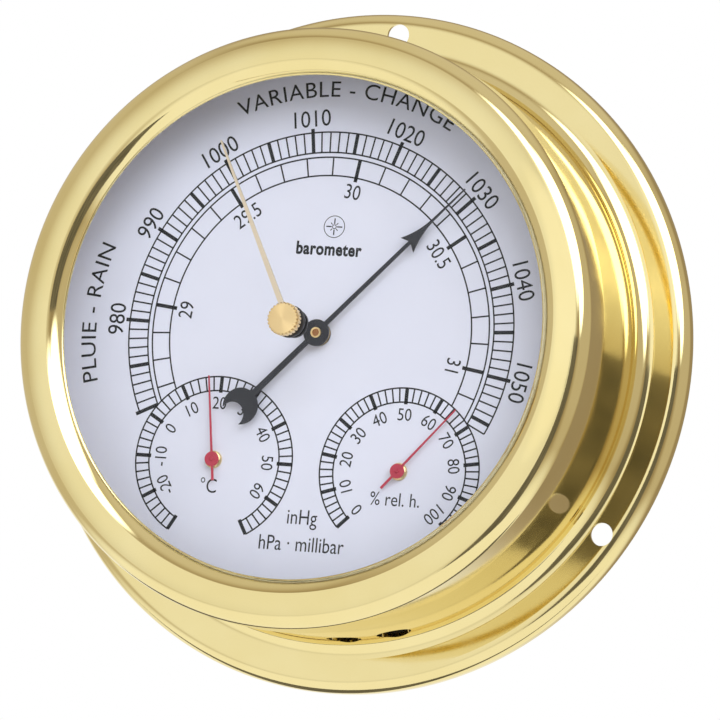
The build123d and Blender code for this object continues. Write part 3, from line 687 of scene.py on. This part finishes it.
THIN = 0.33                     # line widths
FINE = 0.34
THICK = 0.80
DIGITS = (3.75, 0.91)           # cap height and width of the letters
INCH_DIGITS = (3.3, 0.84)
SMALL_DIGITS = (2.75, 0.88)
WORDS = (3.55, 1.07)
TITLE = (2.75, 0.84)
UNITS = (3.3, 0.82)
CELSIUS_UNIT = (3.2, 0.84)
HUMIDITY_UNIT = (3.0, 0.84)
DIGITS_R = 47.2                 # circles on which figures and words sit
INCH_DIGITS_R = 31.5
SMALL_DIGITS_R = 12.4
WORDS_R = 53.5
LONGER = 0.9                    # how far a numbered tick sticks out of its ring
SMALL_LONGER = 0.45
CUT_STEP = 0.05                 # steps by which lines are cut back: degrees of a circle
TICK_STEP = 0.1                 # and millimetres of a tick
ROSE_AT = (0.9, 23.4)
ROSE_R = 2.35
ROSE_LINE = 0.16
ROSE_HUB_R = 0.42
ROSE_POINT_R = 0.62             # where the points begin
ROSE_POINTS = 8
ROSE_LONG = (0.78, 0.26)        # reach of a point, as a share of the rose, and its width
ROSE_SHORT = (0.5, 0.18)


def hpa_angle(hpa):
    """Dial angle of a pressure."""
    return (hpa - HPA_AT_TOP) * DEG_PER_HPA


def sub_scale(ink, side, scale, labels):
    """One of the two small scales; ink stays centred on it."""
    low, high, at_top, per_unit = scale
    outer, inner = SUB_R
    ink.centre = side
    start = (low - at_top) * per_unit
    end = (high - at_top) * per_unit
    ink.band(outer, THIN, start, end)
    ink.band(inner, THIN, start, end)
    for value in range(low, high + 1, 2):
        angle = (value - at_top) * per_unit
        if value % 10 == 0:
            ink.bar(angle, inner - SMALL_LONGER, outer, THICK)
        else:
            ink.bar(angle, inner, outer, FINE)
    for value in labels:
        ink.word(str(value), SMALL_DIGITS, radial(SMALL_DIGITS_R, (value - at_top) * per_unit))


SUB_CENTRES = (middle_of("thermometer_boss"), middle_of("hygrometer_boss"))


def covered(x, z):
    """True where a small scale cuts the large scale off."""
    return any(hypot(x - cx, z - cz) < SUB_R[0] for cx, cz in SUB_CENTRES)


def cut_band(ink, radius, low, high):
    """A circle of the large scale, as far as the small scales leave it."""
    while covered(*clock(radius, low)):
        low += CUT_STEP
    while covered(*clock(radius, high)):
        high -= CUT_STEP
    ink.band(radius, THIN, low, high)


def cut_bar(ink, angle, r0, r1, width):
    """A tick of the large scale, as far as the small scales leave it."""
    if covered(*clock(r1, angle)):
        return
    while covered(*clock(r0, angle)):
        r0 += TICK_STEP
    ink.bar(angle, r0, r1, width)


def make_rose(ink):
    """A small compass rose in a ring."""
    ink.centre = ROSE_AT
    ink.band(ROSE_R, ROSE_LINE, 0, 360)
    ink.band(ROSE_HUB_R, ROSE_LINE, 0, 360)
    for i in range(ROSE_POINTS):
        reach, width = ROSE_LONG if i % 2 == 0 else ROSE_SHORT
        ink.bar(360 / ROSE_POINTS * i, ROSE_POINT_R, ROSE_R * reach, width)
    ink.centre = (0.0, 0.0)


def make_print():
    """Everything that is printed on the dial, as one piece."""
    ink = Print()
    low, high = (hpa_angle(value) for value in HPA_RANGE)
    for radius in HPA_RINGS + INHG_RINGS:
        cut_band(ink, radius, low, high)
    outer, inner = HPA_RINGS
    for value in range(HPA_RANGE[0], HPA_RANGE[1] + 1):
        if value % 10 == 0:
            cut_bar(ink, hpa_angle(value), inner, outer + LONGER, THICK)
        elif value % 5 == 0:
            cut_bar(ink, hpa_angle(value), inner, outer, THICK)
        else:
            cut_bar(ink, hpa_angle(value), inner, outer, FINE)
    outer, inner = INHG_RINGS
    for tenths in range(INHG_TENTHS[0], INHG_TENTHS[1] + 1):
        angle = hpa_angle(tenths / 10 * HPA_PER_INHG)
        if tenths % 5 == 0:
            cut_bar(ink, angle, inner - LONGER, outer, THICK)
        else:
            cut_bar(ink, angle, inner, outer, FINE)
    for value in range(980, 1051, 10):
        ink.word(str(value), DIGITS, radial(DIGITS_R, hpa_angle(value)))
    for text in ("29", "29.5", "30", "30.5", "31"):
        ink.word(text, INCH_DIGITS, radial(INCH_DIGITS_R, hpa_angle(float(text) * HPA_PER_INHG)))
    for text, angle in (("VARIABLE - CHANGE", 1.2), ("PLUIE - RAIN", -88), ("BEAU - FAIR", 88)):
        ink.word(text, WORDS, curved(WORDS_R, angle), spacing=1.06)
    ink.word("barometer", TITLE, level(0.2, 18.6), bold=0.035, spacing=1.08)
    make_rose(ink)
    ink.word("inHg", UNITS, level(0.4, -39.6))
    ink.word("hPa · millibar", UNITS, level(0.8, -45.4))
    left, right = SUB_CENTRES
    sub_scale(ink, left, CELSIUS, range(-20, 61, 10))
    ink.word("°C", CELSIUS_UNIT, level(-0.6, -5.6))
    sub_scale(ink, right, HUMIDITY, range(0, 101, 10))
    ink.word("% rel. h.", HUMIDITY_UNIT, level(-0.3, -5.9))
    ink.finish("dial_print")


# ---------------------------------------------------------------- knob
def make_knob():
    """The small knob: rings of (radius, height, 1 where it is notched), from the hand outwards."""
    low, high = KNOB_H
    hand_top = top_of("set_hand")
    rings = [
        (1.0, hand_top, 0), (KNOB_NECK_R, hand_top, 0), (KNOB_NECK_R, low, 0), (KNOB_FACE_R, low, 0),
        (KNOB_R, low + 0.25, 1), (KNOB_R, high - 0.45, 1), (3.3, high - 0.14, 1),
        (KNOB_FACE_R, high - 0.1, 0), (0.25, high, 0),
    ]
    count = KNOB_NOTCHES * NOTCH_STEPS
    verts = []
    for ring_r, h, notched in rings:
        for j in range(count):
            angle = tau * j / count
            r = ring_r - max(0.0, cos(KNOB_NOTCHES * angle)) ** 0.7 * NOTCH_DEPTH * notched
            verts.append((r * cos(angle) * MM, -h * MM, r * sin(angle) * MM))
    faces = []
    for i in range(len(rings) - 1):
        for j in range(count):
            k = (j + 1) % count
            faces.append((i * count + j, (i + 1) * count + j, (i + 1) * count + k, i * count + k))
    faces.append([(len(rings) - 1) * count + j for j in range(count)])
    faces.append(list(reversed(range(count))))
    mesh = bpy.data.meshes.new("notched_knob")
    mesh.from_pydata(verts, [], faces)
    bm = bmesh.new()
    bm.from_mesh(mesh)
    bmesh.ops.recalc_face_normals(bm, faces=bm.faces)
    bm.to_mesh(mesh)
    bm.free()
    mesh.polygons.foreach_set("use_smooth", [True] * len(mesh.polygons))
    mesh.set_sharp_from_angle(angle=radians(35))
    knob = new_object("notched_knob", mesh, "set_hand_group")
    clothe(knob, KNOB_BRASS)
    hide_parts("set_knob")


make_case()
make_bezel()
make_glass()
make_print()
make_knob()

# ---------------------------------------------------------------- studio
AIM = Vector((9.86, -29.2, -5.09)) * MM
DISTANCE = 1.4396               # from AIM, in metres
AZIMUTH = 20.37                 # degrees, as are the next two
ELEVATION = -6.44
ROLL = -5.84
LENS = 336.06                   # focal length and film width, in millimetres
FILM = 36.0
FLOOR_Z = -0.8                  # metres, as is all that follows
FLOOR_HALF = 6.0
PAPER_R = 9.0
FRONT_FLAG_SIZE = (0.215, 0.35)
FRONT_FLAG_WAY = (28.6, -16)    # azimuth and elevation, in degrees
FRONT_FLAG_DISTANCE = 0.452
FRONT_FLAG_LIFT = 0.012
# The card close under the object is painted shadow: the dark the object would cast beneath it, seen only in
# the flange's rim.
SHADOW_CARD_SIZE = (0.18, 0.032)
SHADOW_CARD_AT = (0.01, 0.001, -0.093)


def direction(azimuth, elevation):
    """Unit vector from the object towards a place, azimuth from the dial's axis towards +X."""
    a, e = radians(azimuth), radians(elevation)
    return Vector((sin(a) * cos(e), -cos(a) * cos(e), sin(e)))


def make_camera():
    """The camera, to the right of the object and a little below it."""
    data = bpy.data.cameras.new("camera")
    data.lens = LENS
    data.sensor_width = FILM
    camera = bpy.data.objects.new("camera", data)
    bpy.context.scene.collection.objects.link(camera)
    back = direction(AZIMUTH, ELEVATION)
    camera.rotation_mode = "QUATERNION"
    turn = (-back).to_track_quat("-Z", "Y").to_matrix() @ Matrix.Rotation(radians(-ROLL), 3, "Z")
    camera.rotation_quaternion = turn.to_quaternion()
    camera.location = AIM + back * DISTANCE
    data.clip_start = 0.01
    data.clip_end = 50.0
    bpy.context.scene.camera = camera


def stage_piece(name, fill):
    """An object of the studio; fill(bm) makes its shape."""
    bm = bmesh.new()
    fill(bm)
    mesh = bpy.data.meshes.new(name)
    bm.to_mesh(mesh)
    bm.free()
    obj = bpy.data.objects.new(name, mesh)
    bpy.context.scene.collection.objects.link(obj)
    return obj


def make_floor():
    """The pale floor; mirror surfaces don't see it, so that the soft light from below stays in them."""
    floor = stage_piece("floor", lambda bm: bmesh.ops.create_grid(bm, x_segments=8, y_segments=8,
                                                                  size=FLOOR_HALF))
    floor.location = (0, 0, FLOOR_Z)
    floor.visible_glossy = False
    clothe(floor, paint("floor_paint", (0.80, 0.80, 0.80), (0.82, 0.82, 0.82), (0.6, 0.7)))


def make_flag(name, place, way, size, material):
    """A card near the object that only its mirror surfaces see, square to a direction."""
    card = stage_piece(name, lambda bm: bmesh.ops.create_grid(bm, x_segments=1, y_segments=1, size=0.5))
    card.location = place
    card.rotation_mode = "QUATERNION"
    card.rotation_quaternion = way.to_track_quat("Z", "Y")
    card.scale = (*size, 1)
    card.visible_camera = False
    card.visible_diffuse = False
    card.visible_shadow = False
    clothe(card, material)


def mottled_cloth():
    """The dark grey of the cards, which looks the same in any light: a cloth on the front card, painted
    shadow on the lower one.
    """
    m = Nodes("dark_cloth_and_painted_shadow")
    lamp = m.add("ShaderNodeEmission")
    mottle = m.spread(m.noise(8.0, 5.0), 0.0, 1.0)
    m.link(m.mix(mottle, (0.07, 0.07, 0.07), (0.26, 0.24, 0.22)), lamp.inputs["Color"])
    return m.finish(lamp)


def white_paper():
    """Paper lit to an even white."""
    m = Nodes("white_paper")
    lamp = m.add("ShaderNodeEmission")
    lamp.inputs["Color"].default_value = (1, 1, 1, 1)
    return m.finish(lamp)


def make_backdrop():
    """The white paper that only the camera sees."""
    backdrop = stage_piece("backdrop", lambda bm: bmesh.ops.create_icosphere(bm, subdivisions=3,
                                                                             radius=PAPER_R))
    for kind in ("diffuse", "glossy", "transmission", "volume_scatter", "shadow"):
        setattr(backdrop, "visible_" + kind, False)
    clothe(backdrop, white_paper())


# Lamps of the studio: azimuth, elevation, the half angles of the even core and of the soft edge, and
# brightness.
LAMPS = (
    (24, 32, 13, 22, 4.0),
    (50, 30, 15, 24, 4.0),
    (2, 9, 8, 20, 1.12),
    (-15, 0, 14, 50, 0.98),
    (0, -90, 52, 78, 1.06),
    (0, 90, 25, 55, 0.7),
    (-90, 0, 40, 70, 0.65),
    (90, 10, 30, 55, 0.6),
    (-150, -25, 20, 42, 1.0),
)
ROOM = 0.36                     # brightness of the rest of the room
ROOM_TINT = (1.0, 0.82, 0.58)
UNTINTED = 0.9                  # light this bright and more has no tint


def make_world():
    """A soft studio: each direction is as bright as the brightest lamp there."""
    world = bpy.data.worlds.new("studio")
    world.use_nodes = True
    tree = world.node_tree
    place = tree.nodes.new("ShaderNodeTexCoord").outputs["Generated"]
    brightest = None
    for azimuth, elevation, core, edge, level in LAMPS:
        near = tree.nodes.new("ShaderNodeVectorMath")
        near.operation = "DOT_PRODUCT"
        near.inputs[1].default_value = direction(azimuth, elevation)
        tree.links.new(place, near.inputs[0])
        fade = tree.nodes.new("ShaderNodeMapRange")
        fade.interpolation_type = "SMOOTHSTEP"
        fade.inputs["From Min"].default_value = cos(radians(edge))
        fade.inputs["From Max"].default_value = cos(radians(core))
        fade.inputs["To Min"].default_value = ROOM
        fade.inputs["To Max"].default_value = level
        tree.links.new(near.outputs["Value"], fade.inputs["Value"])
        if brightest is None:
            brightest = fade.outputs["Result"]
            continue
        both = tree.nodes.new("ShaderNodeMath")
        both.operation = "MAXIMUM"
        tree.links.new(brightest, both.inputs[0])
        tree.links.new(fade.outputs["Result"], both.inputs[1])
        brightest = both.outputs["Value"]
    lit = tree.nodes.new("ShaderNodeMapRange")
    lit.inputs["From Min"].default_value = ROOM
    lit.inputs["From Max"].default_value = UNTINTED
    tree.links.new(brightest, lit.inputs["Value"])
    tint = tree.nodes.new("ShaderNodeMix")
    tint.data_type = "RGBA"
    tint.inputs[MIX_LOW].default_value = (*ROOM_TINT, 1)
    tint.inputs[MIX_HIGH].default_value = (1, 1, 1, 1)
    tree.links.new(lit.outputs["Result"], tint.inputs[0])
    tree.links.new(tint.outputs[MIX_RESULT], tree.nodes["Background"].inputs["Color"])
    tree.links.new(brightest, tree.nodes["Background"].inputs["Strength"])
    bpy.context.scene.world = world
    bpy.context.scene.view_settings.view_transform = "Standard"


def make_flags():
    """Two dark cards: one before the object on the right, and one close under it that is painted shadow, the
    dark the object would cast beneath it, for the flange's rim to mirror.
    """
    card_cloth_and_shadow = mottled_cloth()
    way = direction(*FRONT_FLAG_WAY)
    place = way * FRONT_FLAG_DISTANCE + Vector((0, 0, FRONT_FLAG_LIFT))
    make_flag("front_flag", place, way, FRONT_FLAG_SIZE, card_cloth_and_shadow)
    make_flag("painted_shadow_card", Vector(SHADOW_CARD_AT), Vector((0, -1, 0)), SHADOW_CARD_SIZE, card_cloth_and_shadow)


make_backdrop()
make_flags()
make_camera()
make_floor()
make_world()
